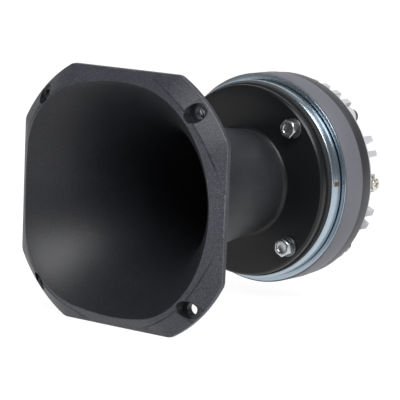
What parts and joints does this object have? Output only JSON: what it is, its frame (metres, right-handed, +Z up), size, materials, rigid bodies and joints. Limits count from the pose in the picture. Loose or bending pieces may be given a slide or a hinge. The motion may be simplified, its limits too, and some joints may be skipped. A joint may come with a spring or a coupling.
{
  "type": "compression driver with cast horn",
  "caption": "Compression driver with a finned rear cover and ferrite magnet, bolted to a cast round horn with a bevelled square mounting flange.",
  "frame": {"origin": "centre of the mounting flange's flat back face, on the horn's axis", "axes": "+Y along the horn's axis from the mouth to the rear cover; +Z up; +X to the right-hand terminal"},
  "size_m": [0.1484, 0.1974, 0.1484],
  "materials": {
    "black_powder_coat": "fine textured powder coat",
    "zinc_steel": "bright zinc plate",
    "soft_iron": "turned",
    "ferrite": "ground ferrite, matt",
    "black_steel": "dark passivated",
    "cast_aluminium": "die cast, shot blasted",
    "titanium_foil": "formed titanium foil",
    "copper_winding": "enamelled copper-clad flat wire",
    "kapton": "translucent film",
    "black_resin": "moulded",
    "grey_gasket": "closed cell, matt",
    "felt": "pressed felt",
    "nickel": "nickel plate",
    "brass_lug": "tinned"
  },
  "bodies": {
    "driver": {"horn": "black_powder_coat", "horn_bolts": "zinc_steel", "spring_washers": "zinc_steel", "flat_washers": "zinc_steel", "horn_gasket": "grey_gasket", "back_plate": "zinc_steel", "pole_piece": "soft_iron", "ferrite_magnet": "ferrite", "top_plate": "black_steel", "phase_plug": "black_resin", "surround": "kapton", "diaphragm_ring": "cast_aluminium", "ring_screws": "zinc_steel", "dowel_pins": "soft_iron", "rear_cover": "cast_aluminium", "cover_gasket": "grey_gasket", "damping_pad": "felt", "cover_screws": "black_steel", "terminal_bush_right": "black_resin", "clamp_washer_right": "nickel", "terminal_screw_right": "nickel", "terminal_nut_right": "nickel", "solder_lug_right": "brass_lug", "lead_strip_right": "copper_winding", "terminal_bush_left": "black_resin", "clamp_washer_left": "nickel", "terminal_screw_left": "nickel", "terminal_nut_left": "nickel", "solder_lug_left": "brass_lug", "lead_strip_left": "copper_winding"},
    "diaphragm": {"diaphragm_dome": "titanium_foil", "voice_coil_former": "kapton", "voice_coil_winding": "copper_winding"}
  },
  "joints": [
    {"name": "diaphragm_travel", "type": "slide", "parent": "driver", "child": "diaphragm", "axis": [0, 1, 0], "range_m": [-0.0004, 0.0004], "stiffness_N_per_m": 10000, "deforming": ["surround"]}
  ]
}
